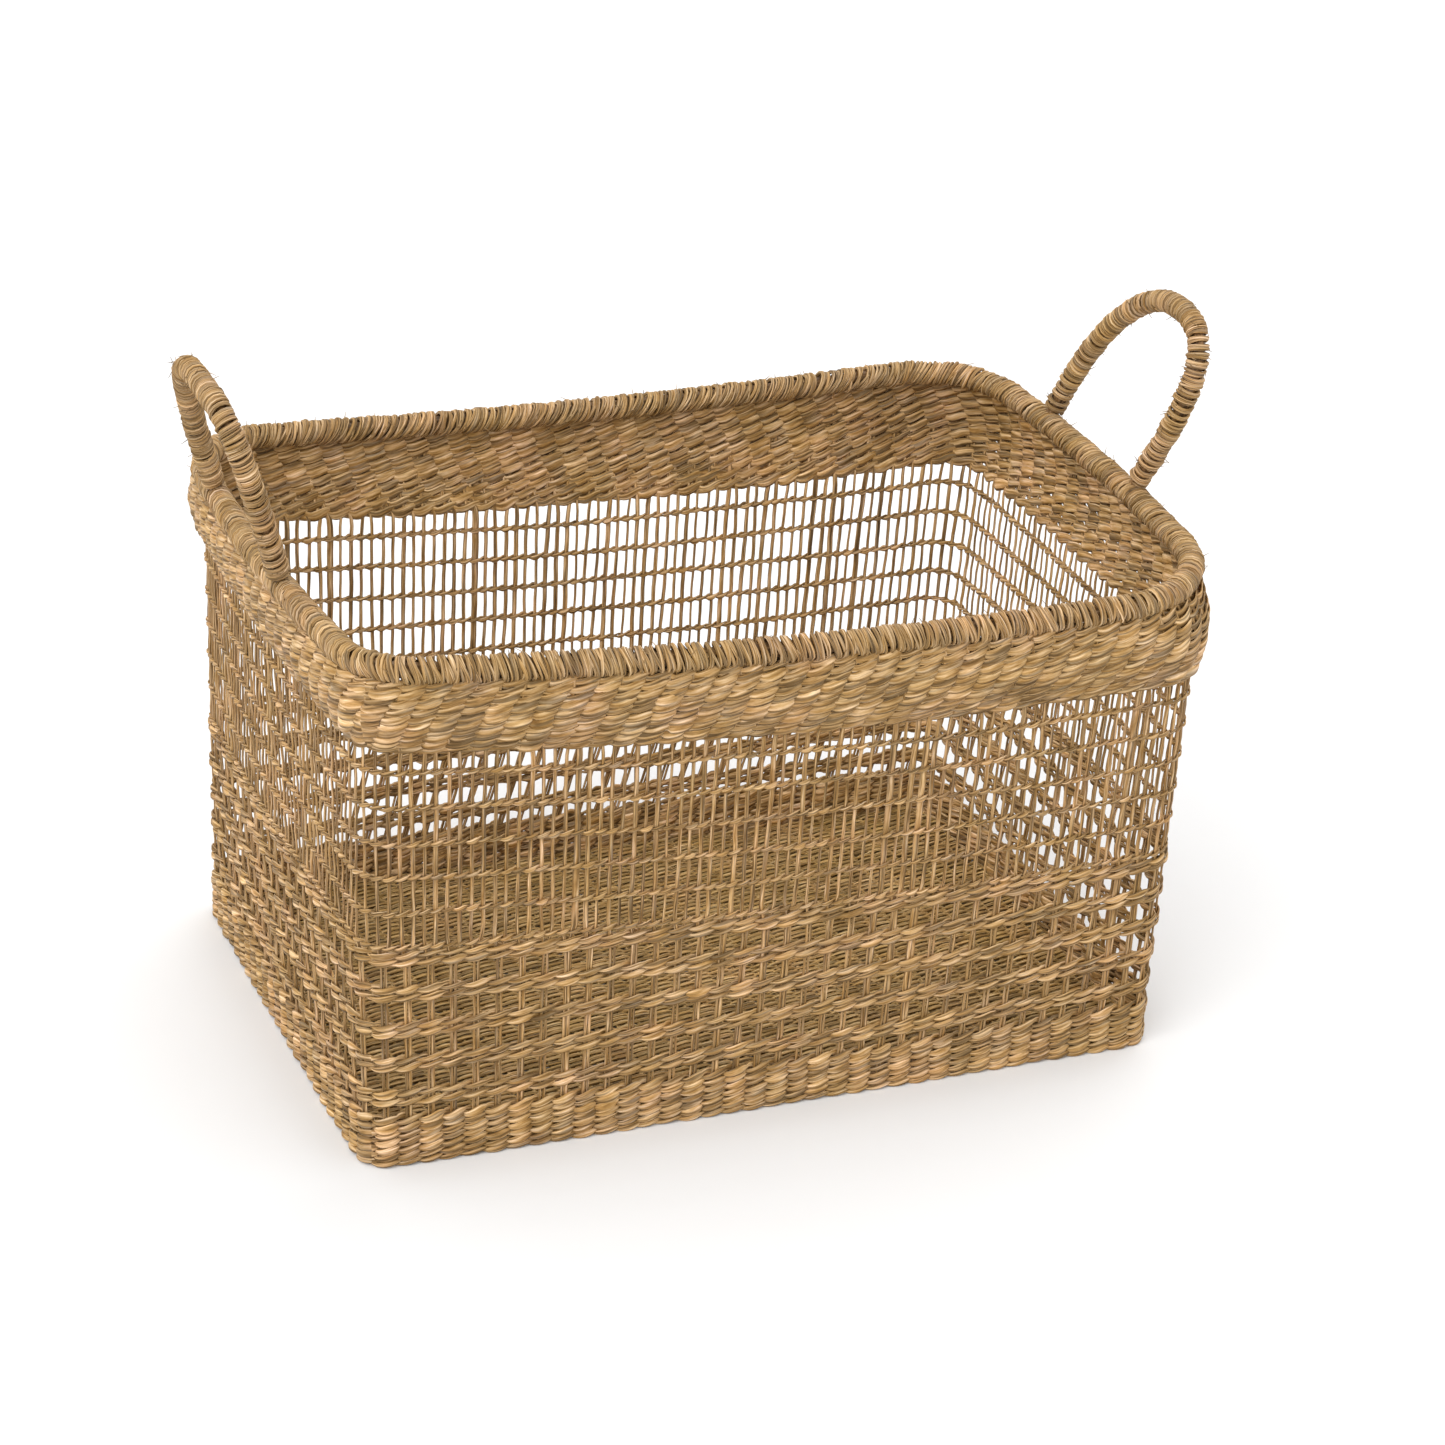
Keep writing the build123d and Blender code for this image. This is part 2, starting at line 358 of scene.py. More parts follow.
def wall(place, z):
    """Points on the wall's middle surface, with the outward and the sideways direction at each."""
    place, z = np.broadcast_arrays(np.asarray(place, float) % PAIRS, np.asarray(z, float))
    counts = np.array(list(WALL_PAIRS.values()))
    starts = np.cumsum(counts) - counts
    number = np.searchsorted(starts, place, side="right") - 1
    share = (place - starts[number]) / counts[number]
    stretch = stretch_arcs(outline_arcs(z), number)
    ends = np.cumsum(stretch[:, RADIUS] * (stretch[:, LAST] - stretch[:, FIRST]), 0)
    distance = share * ends[2]
    which = (distance > ends[0]).astype(int) + (distance > ends[1])
    centre_x, centre_y, radius, first, _ = pick(stretch, which)
    done = pick(np.concatenate([np.zeros_like(ends[:1]), ends[:2]]), which)
    angle = first + (distance - done) / radius
    zero = np.zeros_like(angle)
    outward = np.stack([np.cos(angle), np.sin(angle), zero], -1)
    sideways = np.stack([-np.sin(angle), np.cos(angle), zero], -1)
    middle = np.stack([centre_x, centre_y, z + unevenness(number, share, z)], -1)
    return middle + outward * radius[..., None], outward, sideways


# Strands


def unit(vectors):
    """The vectors at length one."""
    return vectors / np.linalg.norm(vectors, axis=-1, keepdims=True)


def wander(place, length, most_cycles, amount):
    """A smooth random wander along a closed length."""
    total = np.zeros_like(place, dtype=float)
    cycles = rng.integers(1, most_cycles + 1, 6)
    for cycle in cycles:
        total += np.sin(2 * math.pi * cycle * place / length + rng.uniform(0, 2 * math.pi))
    return total * amount / 2


def twist(swing):
    """How far two turning strands stand out from the middle, from -1 to 1, dwelling at both ends."""
    over = np.cos(swing)
    return np.sign(over) * np.abs(over) ** 0.7


def sweep(path, facing, width, depth, closed=False, shade=1.0):
    """Flat tubes along paths of shape (strands, rings, 3). The flat side faces the facing direction."""
    strands, rings, _ = path.shape
    ahead = np.roll(path, -1, 1) - np.roll(path, 1, 1) if closed else np.gradient(path, axis=1)
    tangent = unit(ahead)
    out = unit(facing - tangent * np.sum(facing * tangent, -1, keepdims=True))
    side = np.cross(tangent, out)
    angle = 2 * math.pi * np.arange(SECTION_POINTS) / SECTION_POINTS
    width, depth = np.broadcast_to(width, (strands, rings)), np.broadcast_to(depth, (strands, rings))
    across = (width[..., None] * np.cos(angle) / 2)[..., None] * side[:, :, None]
    lift = (depth[..., None] * np.sin(angle) / 2)[..., None] * out[:, :, None]
    steps = np.linalg.norm(np.roll(path, -1, 1) - path, axis=-1)
    along = np.concatenate([np.zeros((strands, 1)), np.cumsum(steps, 1)], 1)
    return dict(
        points=path[:, :, None] + across + lift,
        along=along,
        closed=closed,
        shade=np.broadcast_to(shade, (strands, rings)),
        seed=rng.uniform(0, 50, strands),
    )


def sweep_faces(tube):
    """One sweep's quads, its end caps, and each quad corner's length along and share round the strand."""
    strands, rings, sides, _ = tube["points"].shape
    number = np.arange(strands * rings * sides).reshape(strands, rings, sides)
    last = rings if tube["closed"] else rings - 1
    here, ahead = number[:, :last], np.roll(number, -1, 1)[:, :last]
    quads = np.stack([here, ahead, np.roll(ahead, -1, 2), np.roll(here, -1, 2)], -1).reshape(-1, 4)
    near = np.repeat(tube["along"][:, :last, None], sides, 2)
    far = np.repeat(tube["along"][:, 1 : last + 1, None], sides, 2)
    low = np.broadcast_to(np.arange(sides) / sides, near.shape)
    high = low + 1 / sides
    corners = np.stack([np.stack([near, far, far, near], -1), np.stack([low, low, high, high], -1)], -1)
    caps = np.empty((0, sides), int)
    if not tube["closed"]:
        caps = np.concatenate([number[:, 0, ::-1], number[:, -1]])
    return quads, caps, corners.reshape(-1, 2)


def join_tubes(tubes):
    """The arrays of one mesh of all the tubes: values of its points, then its faces and their grain."""
    parts = {label: [] for label in ("points", "shade", "seed", "loops", "starts", "grain")}
    first, size = 0, 0
    for tube in tubes:
        quads, caps, corners = sweep_faces(tube)
        points = tube["points"].reshape(-1, 3)
        parts["points"].append(points * MM)
        parts["shade"].append(np.repeat(tube["shade"].reshape(-1), SECTION_POINTS))
        parts["seed"].append(np.repeat(tube["seed"], len(points) // len(tube["seed"])))
        parts["loops"] += [(quads + first).reshape(-1), (caps + first).reshape(-1)]
        parts["starts"].append(size + 4 * np.arange(len(quads)))
        parts["starts"].append(size + quads.size + SECTION_POINTS * np.arange(len(caps)))
        parts["grain"] += [corners, np.zeros((caps.size, 2))]
        first += len(points)
        size += quads.size + caps.size
    return {label: np.concatenate(values) for label, values in parts.items()}


def make_mesh(name, tubes):
    """One mesh of all the tubes, with the grain, shade and seed that its material reads."""
    parts = join_tubes(tubes)
    mesh = bpy.data.meshes.new(name)
    mesh.vertices.add(len(parts["points"]))
    mesh.vertices.foreach_set("co", parts["points"].astype(np.float32).reshape(-1))
    mesh.loops.add(len(parts["loops"]))
    mesh.loops.foreach_set("vertex_index", parts["loops"].astype(np.int32))
    mesh.polygons.add(len(parts["starts"]))
    mesh.polygons.foreach_set("loop_start", parts["starts"].astype(np.int32))
    mesh.uv_layers.new(name="grain")
    mesh.uv_layers["grain"].data.foreach_set("uv", parts["grain"].astype(np.float32).reshape(-1))
    for label in ("shade", "seed"):
        attribute = mesh.attributes.new(label, "FLOAT", "POINT")
        attribute.data.foreach_set("value", parts[label].astype(np.float32))
    mesh.update(calc_edges=True)
    mesh.validate()
    mesh.shade_smooth()
    return mesh


def make_piece(name, tubes, material, nodes):
    """One mesh object of all the tubes, which stands for the named CAD nodes."""
    mesh = make_mesh(name, tubes)
    mesh.materials.append(material)
    piece = bpy.data.objects.new(name, mesh)
    bpy.context.scene.collection.objects.link(piece)
    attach(piece, "root")
    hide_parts(*nodes)


# Stakes


def stake_opening(z, jitter):
    """How far each pair of stakes stands open at a height: 0 is touching and 1 is evenly spread."""
    opening = [OPEN_Z + height for height in OPENING_RANGE]
    closing = [KNEE_Z + height for height in CLOSING_RANGE]
    return np.interp(z + jitter, [*opening, *closing], [0, 1, 1, BAND_OPENING])


def skew(place, z):
    """How far the pairs lean along the wall, in pairs: only below the open part, and most at the back."""
    back = 0.5 - 0.5 * np.cos(2 * math.pi * (place - WALL_PAIRS["front"] / 2) / PAIRS)
    return BACK_SKEW * back**2 * np.clip(1 - z / OPEN_Z, 0, 1)


def stake_drift(heights, opening):
    """How far each stake strays sideways at each height, in pairs."""
    count = len(heights)
    drift = np.zeros(heights.shape)
    for cycles, amount in STAKE_WAVES:
        phase = rng.uniform(0, 2 * math.pi, (count, 1))
        size = amount * rng.normal(1, STRAY_VARIATION, (count, 1))
        drift += size * np.sin(2 * math.pi * cycles * heights / RIM_Z + phase)
    return drift * (0.25 + 0.7 * opening)


def ripple(angle, count):
    """A sine wave for each of some stakes, each with its own phase."""
    return np.sin(angle + rng.uniform(0, 6, (count, 1)))


def stakes(pairs):
    """The strips of the given pairs, from the base to the rim."""
    z = np.linspace(STAKE_BOTTOM, RIM_Z - STAKE_TOP_INSET, STAKE_LEVELS)
    pair = np.repeat(np.asarray(pairs, float), 2)[:, None]
    side = np.tile([-1.0, 1.0], len(pairs))[:, None]
    count = len(pair)
    heights = np.broadcast_to(z, (count, len(z)))
    opening = stake_opening(heights, rng.normal(0, OPENING_JITTER, (count, 1)))
    drift = stake_drift(heights, opening)
    width = rng.uniform(*STAKE_WIDTHS, (count, 1)) + (rng.random((count, 1)) < COARSE_SHARE) * COARSE_EXTRA
    width = width * (CLOSED_WIDTH + (OPEN_WIDTH - CLOSED_WIDTH) * opening)
    width = width * (1 + WIDTH_RIPPLE * ripple(z / WIDTH_RIPPLE_LENGTH, count))
    drift += skew(pair, heights)
    point, outward, sideways = wall(pair + 0.5 + 0.25 * side * opening + drift, heights)
    point = point + sideways * (side * (1 - opening))[..., None]
    bulge = STAKE_BULGE * ripple(2 * math.pi * z / BULGE_PERIOD, count)
    shade = rng.normal(1, STAKE_SHADE, (count, 1))
    shade = shade + SHADE_RIPPLE * ripple(z / SHADE_RIPPLE_LENGTH, count)
    tilt = outward + sideways * rng.normal(0, STAKE_TILT, (count, 1))[..., None]
    return sweep(point + outward * bulge[..., None], tilt, width, STAKE_THICKNESS, shade=shade)


# Twined rows


def leaf_width(share, narrow):
    """How wide a strand shows along one pass over the stakes: widest late in the pass, then a pointed end.

    Its ends are narrow times as wide as its widest place.
    """
    growing = np.sin(math.pi / 2 * np.clip(share / LEAF_PEAK, 0, 1)) ** 0.7
    ending = np.cos(math.pi / 2 * np.clip((share - LEAF_PEAK) / (1 - LEAF_PEAK), 0, 1)) ** 0.8
    return narrow + (1 - narrow) * np.minimum(growing, ending)


def pass_values(passes):
    """A random number for each pass of each strand, repeated along the pass."""
    values = rng.normal(0, 1, (2, passes.max() - passes.min() + 1))
    return np.take_along_axis(values, passes - passes.min(), 1)


def twined_row(z, stride, width, depth, lift, rise, rings, waver, shift=0.0, favour=0.0, narrow=0.46):
    """The two strands of one row, which swap sides of the wall after each stride, counted in pairs.

    The first strand is wider and paler than the second by the favour's share.
    """
    count = int(PAIRS / stride) * rings
    place = np.arange(count) * PAIRS / count
    middle = z + wander(place, PAIRS, most_cycles=9, amount=waver)
    middle = middle + wander(place, PAIRS, most_cycles=40, amount=waver * 0.35)
    turn = math.pi * ((place + shift - skew(place, z)) / stride - 0.5)
    turn = turn + wander(place, PAIRS, most_cycles=50, amount=0.12)
    swing = np.stack([turn, turn + math.pi])
    passes = np.floor(swing / math.pi + 0.5).astype(int)
    loose = pass_values(passes)
    share = swing / math.pi + 0.5 - passes
    point, outward, _ = wall(place, middle + rise * np.sin(swing))
    reach = lift * twist(swing) * (1 + PASS_REACH * loose)
    favoured = np.array([[favour], [-favour]])
    strand_width = width * leaf_width(share, narrow) * (1 + PASS_WIDTH * loose + FAVOUR_WIDTH * favoured)
    shade = 1 + PASS_SHADE * loose + wander(place, PAIRS, most_cycles=30, amount=0.05) + favoured
    path = point + outward * reach[..., None]
    return sweep(path, outward, strand_width, depth, closed=True, shade=shade)


def single_row(number):
    """One row over single stakes."""
    return [twined_row(node_middle(f"single_row_{number}"), 0.5, **SINGLE_STRAND)]


def double_row(number):
    """Two touching rows over pairs of stakes. The uppermost pair of rows lies a little closer together."""
    middle = node_middle(f"double_row_{number}")
    half = TOP_DOUBLE_HALF_STEP if number == 1 else DOUBLE_HALF_STEP
    return [twined_row(z, 1, **DOUBLE_STRAND) for z in (middle + half, middle - half)]


def upper_band():
    """Dense rows up the flare, whose passes lie nearly above each other."""
    low, high = node_box("upper_band")
    heights = np.linspace(low[2] + UPPER_INSETS[0], high[2] - UPPER_INSETS[1], UPPER_ROWS)
    shifts = np.cumsum(rng.normal(UPPER_SHIFT, 0.05, UPPER_ROWS))
    return [twined_row(z, 1, shift=shift, **UPPER_STRAND) for z, shift in zip(heights, shifts)]


def lower_band():
    """A border on the floor and rows over pairs. The same strand comes forward at every other pair."""
    top = node_box("lower_band")[1][2]
    border = twined_row(BORDER_Z, 1, **BORDER_STRAND)
    heights = np.linspace(LOWER_INSET, top - LOWER_INSET, LOWER_ROWS)
    middle = [twined_row(z, 1, **LOWER_STRAND) for z in heights]
    return [border, *middle, twined_row(top - LOWER_TOP_INSET, 1, **LOWER_TOP_STRAND)]


# Base mat


def mat_row(number, y):
    """One twined row along the base, which ends earlier where the corners are round."""
    low, high = node_box("base_mat")
    pitch = (high[0] - low[0]) / MAT_PASSES
    inset = max(0, abs(y) - high[1] + MAT_CORNER) ** 2 / (2 * MAT_CORNER)
    count = int((high[0] - low[0] - 2 * inset) / pitch * MAT_RINGS)
    x = np.linspace(low[0] + inset, high[0] - inset, count)
    length = high[0] * 2
    turn = math.pi * x / pitch + wander(x, length, most_cycles=20, amount=0.15)
    swing = np.stack([turn, turn + math.pi])
    waver = wander(x, length, most_cycles=8, amount=0.35)
    height = node_middle("base_mat") + MAT_LIFT * twist(swing)
    path = np.stack([x + 0 * swing, y + waver + MAT_RISE * np.sin(swing), height], -1)
    width = MAT_STRAND_WIDTH * (0.5 + 0.55 * np.abs(np.cos(swing))) * (1 + 0.06 * np.sin(number + x / 9))
    shade = rng.normal(1, 0.08, (2, 1)) + wander(x, length, most_cycles=25, amount=0.07)
    return sweep(path, np.broadcast_to(UP, path.shape), width, MAT_STRAND_DEPTH, shade=shade)


def base_rows():
    """Twined rows along the base, between the inner faces of the lower band."""
    low, high = node_box("base_mat")
    rows = np.linspace(low[1] + MAT_ROW_INSET, high[1] - MAT_ROW_INSET, MAT_ROWS)
    return [mat_row(number, y) for number, y in enumerate(rows)]


def base_warps():
    """The strips that run across under the rows."""
    low, high = node_box("base_mat")
    inset_x, inset_y = MAT_WARP_INSETS
    x = np.linspace(low[0] + inset_x, high[0] - inset_x, MAT_WARPS)[:, None]
    y = np.linspace(low[1] + inset_y, high[1] - inset_y, MAT_WARP_RINGS)[None]
    path = np.stack(np.broadcast_arrays(x, y, node_middle("base_mat")), -1)
    return [sweep(path, np.broadcast_to(UP, path.shape), MAT_WARP_WIDTH, MAT_WARP_DEPTH, shade=WARP_SHADE)]


# Wrappings. A path here is its centre line and two axes that span its cross-section.


def distances(centre):
    """The distance along a centre line at each of its points."""
    return np.concatenate([[0], np.cumsum(np.linalg.norm(np.diff(centre, axis=0), axis=1))])


def read_along(values, length, place):
    """Vectors given at some distances along a path, read at other distances."""
    return np.stack([np.interp(place, length, values[:, axis]) for axis in range(3)], -1)


def wound_strand(path, radius, turns, start, lean, closed):
    """One strand wound round a path. Lean slants each turn's outer side."""
    centre, first_axis, second_axis = path
    length = distances(centre)
    total = length[-1]
    spot = np.arange(turns * WRAP_RINGS) / WRAP_RINGS
    angle = 2 * math.pi * (spot + start)
    uneven = wander(spot, turns, turns // 12, amount=0.14) + wander(spot, turns, turns, amount=0.05)
    slant = lean * (1 + wander(spot, turns, turns // 2, amount=0.45))
    place = (spot + uneven) * total / turns - slant * np.sin(angle)
    place = place % total if closed else np.clip(place, 0, total)
    out = read_along(first_axis, length, place) * np.cos(angle)[:, None]
    out = out + read_along(second_axis, length, place) * np.sin(angle)[:, None]
    swell = wander(spot, turns, turns, amount=0.35)
    line = read_along(centre, length, place) + out * (radius - WRAP_DEPTH / 2 + swell)[:, None]
    width = total / turns / WRAP_STRANDS * (WRAP_OVERLAP + wander(spot, turns, turns, amount=0.25))
    shade = 1 + wander(spot, turns, turns, amount=0.14)
    return sweep(line[None], out[None], width[None], WRAP_DEPTH, closed=closed, shade=shade[None])


def wrapping(path, radius, pitch, lean, closed):
    """Strands side by side, wound round a path."""
    turns = int(distances(path[0])[-1] / pitch)
    starts = [strand / WRAP_STRANDS for strand in range(WRAP_STRANDS)]
    return [wound_strand(path, radius, turns, start, lean, closed) for start in starts]


def loose_ends(path, radius, count):
    """Fine fibre ends that stand out of a wrapping, rooted just under its surface."""
    centre, first_axis, second_axis = path
    spot = rng.integers(4, len(centre) - 4, count)
    angle = rng.uniform(0, 2 * math.pi, count)[:, None]
    out = first_axis[spot] * np.cos(angle) + second_axis[spot] * np.sin(angle)
    around = second_axis[spot] * np.cos(angle) - first_axis[spot] * np.sin(angle)
    along = unit(centre[spot + 1] - centre[spot])
    lean = along * rng.normal(0, END_ALONG, (count, 1)) + out * rng.uniform(*END_OUTWARD, (count, 1))
    heading = unit(around * rng.choice((-1, 1), (count, 1)) + lean)
    reach = np.linspace(0, 1, END_POINTS)
    length = rng.uniform(*END_LENGTHS, (count, 1, 1))
    root = centre[spot] + out * (radius - END_ROOT)
    points = root[:, None] + heading[:, None] * length * reach[:, None]
    points = points + out[:, None] * rng.normal(0, END_CURL, (count, 1, 1)) * reach[:, None] ** 2
    facing = np.broadcast_to(out[:, None], points.shape)
    width, depth = (np.linspace(*ends, END_POINTS) for ends in (END_WIDTHS, END_DEPTHS))
    return sweep(points, facing, width, depth, shade=rng.uniform(*END_SHADES, (count, 1)))


def rim_path():
    """The rim's middle, all the way round."""
    place = np.linspace(0, PAIRS, RIM_POINTS)
    point, outward, _ = wall(place, np.full(RIM_POINTS, RIM_Z))
    return point, outward, np.broadcast_to(UP, point.shape)


def rim_wrap():
    """The strands wound all the way round the rim, and their loose ends."""
    path = rim_path()
    radius = (node_box("rim_wrap")[1][2] - node_box("rim_wrap")[0][2]) / 2
    strands = wrapping(path, radius, RIM_TURN, RIM_LEAN, closed=True)
    return [*strands, loose_ends(path, radius, RIM_ENDS)]


def handle_path(handle):
    """A loop's middle from the back foot to the front foot."""
    angle = np.radians(np.linspace(0, 180, HANDLE_POINTS))
    feet = wall(handle["feet"], RIM_Z)[0]
    row = unit(feet[1] - feet[0])
    lean = np.array([handle["side"] * HANDLE_REACH, 0, handle["rise"]])
    height = np.linalg.norm(lean)
    lean = unit(lean - row * (lean @ row))
    rise = np.abs(np.sin(angle)) ** handle["power"]
    spread = np.sign(np.cos(angle)) * np.abs(np.cos(angle)) ** handle["power"]
    across = np.linalg.norm(feet[1] - feet[0]) / 2 * spread * (1 + handle["belly"] * np.sin(angle))
    across += handle["shift"] * np.sin(angle)
    centre = feet.mean(0) + across[:, None] * row + (height * rise)[:, None] * lean
    flat = np.cross(lean, row)
    second = np.cross(unit(np.gradient(centre, axis=0)), flat)
    return centre, np.broadcast_to(flat, centre.shape), second


def trimmed(path, trim):
    """A path without the stretch within a distance of each end."""
    length = distances(path[0])
    kept = np.linspace(trim, length[-1] - trim, HANDLE_POINTS)
    return [read_along(values, length, kept) for values in path]


def handle_wrap(handle):
    """The strands wound round a loop from foot to foot, and their loose ends."""
    path = trimmed(handle_path(handle), HANDLE_WRAP_TRIM)
    strands = wrapping(path, HANDLE_TUBE, HANDLE_TURN, HANDLE_LEAN, closed=False)
    return [*strands, loose_ends(path, HANDLE_TUBE, HANDLE_ENDS)]


def round_bar(path, radius, closed):
    """A plain round bar along a path, for a core."""
    centre, first, _ = path
    if closed:
        centre, first = centre[:-1], first[:-1]
    return [sweep(centre[None], first[None], 2 * radius, 2 * radius, closed=closed, shade=CORE_SHADE)]


# Materials


def add_node(material, kind, values=None, **settings):
    """A node with its settings and input values."""
    node = material.node_tree.nodes.new(kind)
    for name, value in settings.items():
        setattr(node, name, value)
    for name, value in (values or {}).items():
        node.inputs[name].default_value = value
    return node


def fibre_noise(material, scale, values):
    """Noise drawn out along each strand, different on every strand."""
    link = material.node_tree.links.new
    grain = add_node(material, "ShaderNodeUVMap", uv_map="grain")
    seed = add_node(material, "ShaderNodeAttribute", attribute_name="seed")
    split = add_node(material, "ShaderNodeSeparateXYZ")
    scaled = add_node(material, "ShaderNodeVectorMath", {1: (*scale, 1)}, operation="MULTIPLY")
    joined = add_node(material, "ShaderNodeCombineXYZ")
    noise = add_node(material, "ShaderNodeTexNoise", {"Scale": 1.0, **values})
    link(grain.outputs["UV"], scaled.inputs[0])
    link(scaled.outputs["Vector"], split.inputs[0])
    link(split.outputs["X"], joined.inputs["X"])
    link(split.outputs["Y"], joined.inputs["Y"])
    link(seed.outputs["Fac"], joined.inputs["Z"])
    link(joined.outputs["Vector"], noise.inputs["Vector"])
    return noise.outputs["Fac"]


def colour_ramp(material, stops, value):
    """A value turned into the colours of some stops."""
    ramp = add_node(material, "ShaderNodeValToRGB")
    elements = ramp.color_ramp.elements
    while len(elements) < len(stops):
        elements.new(0.5)
    for element, (position, colour) in zip(elements, stops):
        element.position = position
        element.color = (*colour, 1)
    material.node_tree.links.new(value, ramp.inputs["Fac"])
    return ramp.outputs["Color"]


def map_range(material, value, start, end):
    """A value mapped from one range to another, and kept inside it."""
    limits = {"From Min": start[0], "From Max": start[1], "To Min": end[0], "To Max": end[1]}
    node = add_node(material, "ShaderNodeMapRange", limits)
    material.node_tree.links.new(value, node.inputs["Value"])
    return node.outputs["Result"]


def multiply(material, kind, first, second):
    """The product of two outputs, as numbers or as colours."""
    node = add_node(material, kind, operation="MULTIPLY")
    material.node_tree.links.new(first, node.inputs[0])
    material.node_tree.links.new(second, node.inputs[1])
    return node.outputs[0]


def straw_colour(material, tint):
    """Straw to brown streaks along each strand, under slow changes of tone over the whole basket."""
    link = material.node_tree.links.new
    streaks = fibre_noise(material, STREAK_SCALE, {"Detail": 4.0, "Roughness": 0.6})
    stops = [(at, tuple(c * t for c, t in zip(colour, tint))) for at, colour in STRAW_STOPS]
    patches = add_node(material, "ShaderNodeTexNoise", {"Scale": PATCH_SCALE, "Detail": 3.0})
    link(add_node(material, "ShaderNodeTexCoord").outputs["Object"], patches.inputs["Vector"])
    straw = colour_ramp(material, stops, streaks)
    tone = colour_ramp(material, TONE_STOPS, patches.outputs["Fac"])
    return multiply(material, "ShaderNodeVectorMath", straw, tone)


def seagrass(name, tint, roughness=GRASS_ROUGHNESS):
    """Dried grass: streaks along each strand, paler and darker strands, fine ridges and painted shade in the
    furrows.
    """
    material = bpy.data.materials.new(name)
    material.use_nodes = True
    link = material.node_tree.links.new
    shader = material.node_tree.nodes["Principled BSDF"]
    shader.inputs["Specular IOR Level"].default_value = GRASS_SPECULAR
    ridges = fibre_noise(material, RIDGE_SCALE, {"Detail": 2.0})
    # Painted shade: the colour darkens where the ridges' noise is low, in the furrows between the ridges.
    painted_furrow_shade = map_range(material, ridges, PAINTED_SHADE_NOISE, PAINTED_FURROW_SHADE)
    shade = add_node(material, "ShaderNodeAttribute", attribute_name="shade")
    colour = add_node(material, "ShaderNodeVectorMath", operation="SCALE")
    link(straw_colour(material, tint), colour.inputs[0])
    link(multiply(material, "ShaderNodeMath", painted_furrow_shade, shade.outputs["Fac"]), colour.inputs["Scale"])
    link(colour.outputs["Vector"], shader.inputs["Base Color"])
    bump = add_node(material, "ShaderNodeBump", {"Strength": 1.0, "Distance": RIDGE_HEIGHT})
    link(ridges, bump.inputs["Height"])
    link(bump.outputs["Normal"], shader.inputs["Normal"])
    polish = map_range(material, ridges, POLISH_NOISE, (roughness + POLISH, roughness - POLISH))
    link(polish, shader.inputs["Roughness"])
    return material


# Stage


def floor_material():
    """Plain pale paint."""
    material = bpy.data.materials.new("floor")
    material.use_nodes = True
    shader = material.node_tree.nodes["Principled BSDF"]
    shader.inputs["Base Color"].default_value = FLOOR_COLOUR
    shader.inputs["Roughness"].default_value = FLOOR_ROUGHNESS
    return material


def make_stage():
    """A plain pale floor under a white sky, with a soft light high on the left and a weak one behind."""
    bpy.ops.mesh.primitive_plane_add(size=FLOOR_SIZE)
    floor = bpy.context.object
    floor.name = "floor"
    floor.data.materials.append(floor_material())
    world = bpy.data.worlds.new("studio")
    world.use_nodes = True
    world.node_tree.nodes["Background"].inputs["Color"].default_value = (1, 1, 1, 1)
    world.node_tree.nodes["Background"].inputs["Strength"].default_value = SKY_STRENGTH
    bpy.context.scene.world = world
    for name, place, strength in SUNS:
        lamp = bpy.data.lights.new(name, "SUN")
        lamp.angle = math.radians(SUN_ANGLE)
        lamp.energy = strength
        light = bpy.data.objects.new(name, lamp)
        light.location = place
        light.rotation_euler = Vector(place).to_track_quat("Z", "Y").to_euler()
        bpy.context.scene.collection.objects.link(light)


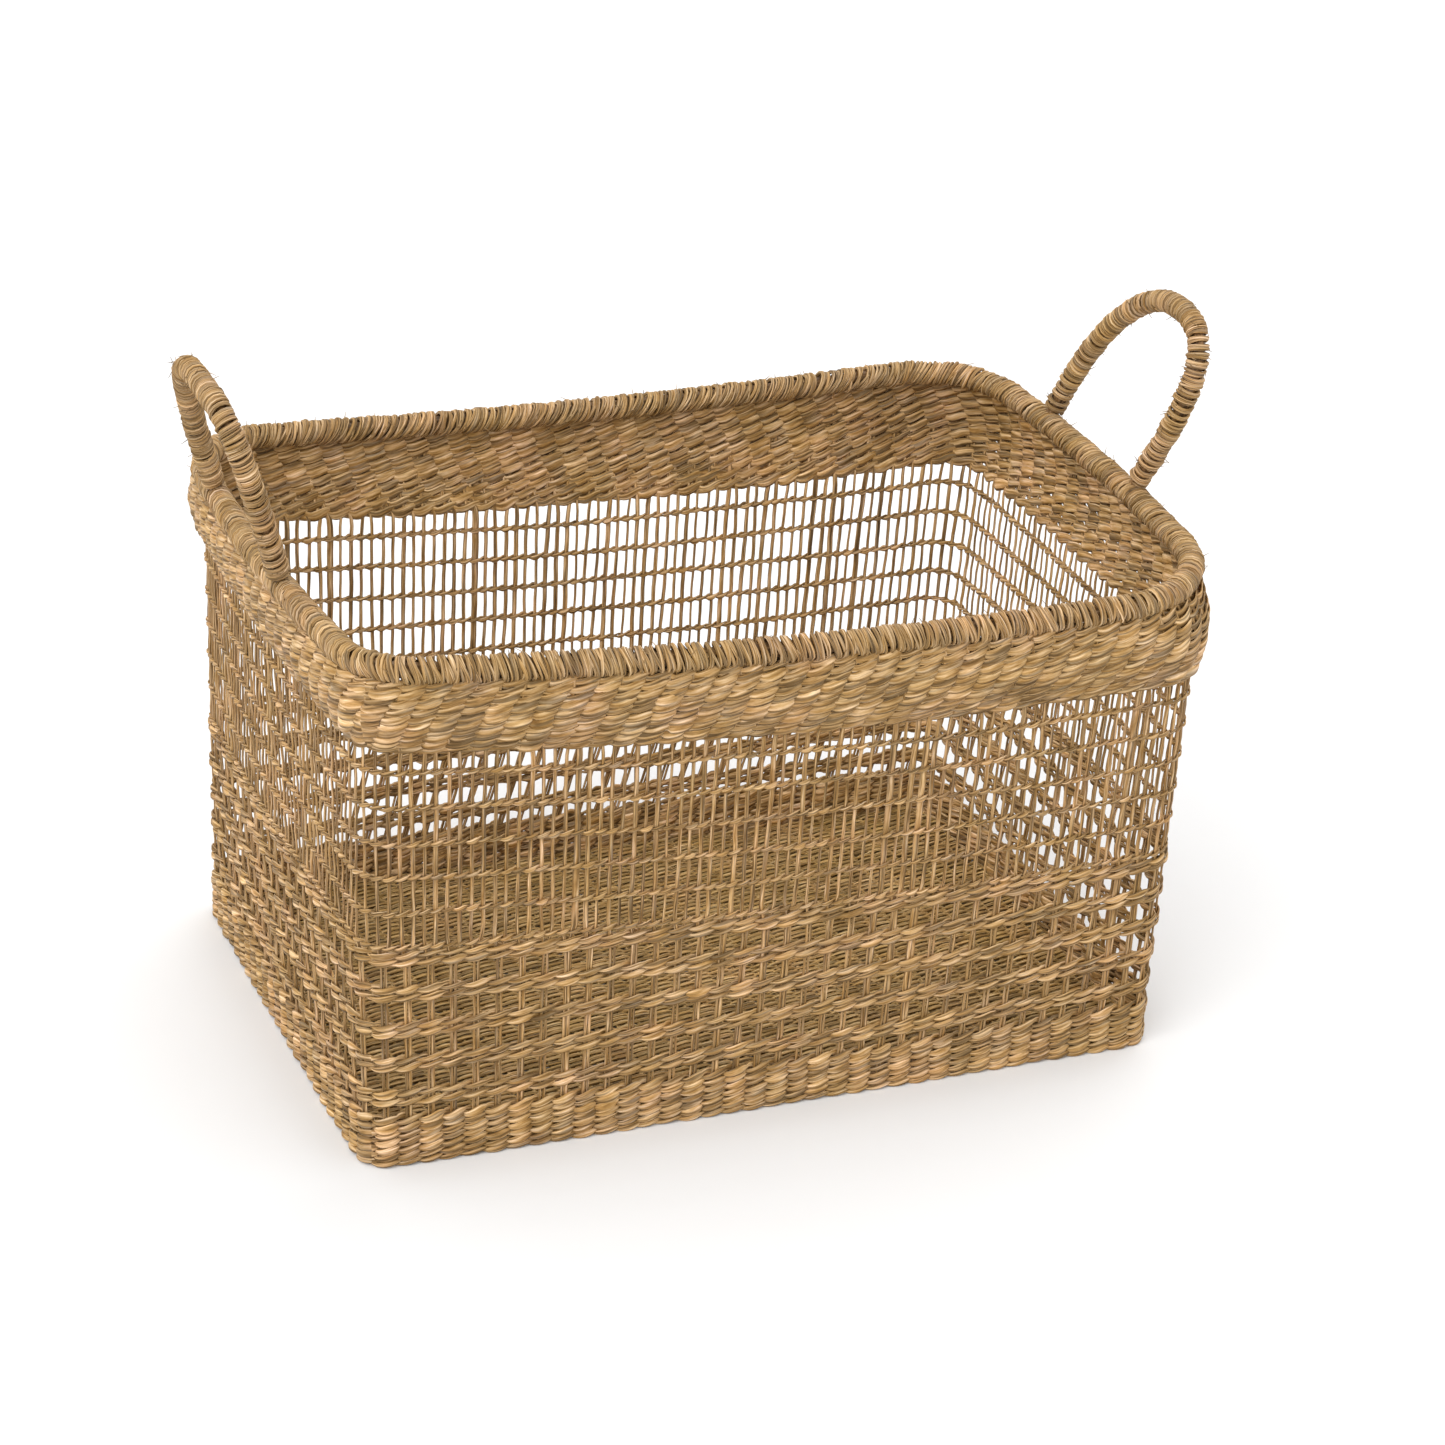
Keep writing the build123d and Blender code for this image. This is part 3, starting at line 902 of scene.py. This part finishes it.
def make_camera():
    """The camera, turned by its azimuth, elevation and roll."""
    azimuth, elevation, roll = (math.radians(a) for a in (CAMERA_AZIMUTH, CAMERA_ELEVATION, CAMERA_ROLL))
    flat = math.cos(elevation)
    back = Vector((math.sin(azimuth) * flat, -math.cos(azimuth) * flat, math.sin(elevation)))
    level = Vector((math.cos(azimuth), math.sin(azimuth), 0))
    right = level * math.cos(roll) + back.cross(level) * math.sin(roll)
    turn = Matrix((right, back.cross(right), back)).transposed().to_4x4()
    camera = bpy.data.objects.new("camera", bpy.data.cameras.new("camera"))
    camera.data.lens = CAMERA_LENS
    camera.data.clip_end = CAMERA_FAR
    camera.matrix_world = Matrix.Translation(CAMERA_PLACE) @ turn
    bpy.context.scene.collection.objects.link(camera)
    bpy.context.scene.camera = camera


# The basket


def make_weave():
    """The base, the two bands, the rows between them and the stakes."""
    twined = seagrass("seagrass_twined", TWINED_TINT)
    strips = seagrass("seagrass_strips", STRIP_TINT)
    matting = seagrass("seagrass_matting", MAT_TINT)
    make_piece("base_mat_weave", base_rows() + base_warps(), matting, ["base_mat"])
    make_piece("lower_band_weave", lower_band(), twined, ["lower_band"])
    make_piece("upper_band_weave", upper_band(), twined, ["upper_band"])
    for kind, row, count in (("double", double_row, DOUBLE_ROWS), ("single", single_row, SINGLE_ROWS)):
        for number in range(1, count + 1):
            node = f"{kind}_row_{number}"
            make_piece(f"{node}_strands", row(number), twined, [node])
    first = 0
    for name, count in WALL_PAIRS.items():
        strip = stakes(np.arange(first, first + count))
        make_piece(f"stakes_{name}_strips", [strip], strips, [f"stakes_{name}"])
        first += count


def make_rim():
    """The rim and the two handles, each a wrapping round a core."""
    wrap = seagrass("seagrass_wrap", WRAP_TINT)
    cane = seagrass("core_cane", CANE_TINT, CANE_ROUGHNESS)
    make_piece("rim_wrap_strands", rim_wrap(), wrap, ["rim_wrap"])
    hoop = round_bar(rim_path(), RIM_BAR_RADIUS, closed=True)
    make_piece("rim_core_hoop", hoop, cane, ["rim_core"])
    for name, handle in (("left", LEFT_HANDLE), ("right", RIGHT_HANDLE)):
        node = f"handle_wrap_{name}"
        make_piece(f"{node}_strands", handle_wrap(handle), wrap, [node])
        node = f"handle_core_{name}"
        rod = round_bar(trimmed(handle_path(handle), HANDLE_BAR_TRIM), HANDLE_BAR_RADIUS, closed=False)
        make_piece(f"{node}_rod", rod, cane, [node])


make_stage()
make_camera()
make_weave()
make_rim()
bpy.context.scene.view_settings.view_transform = "Standard"
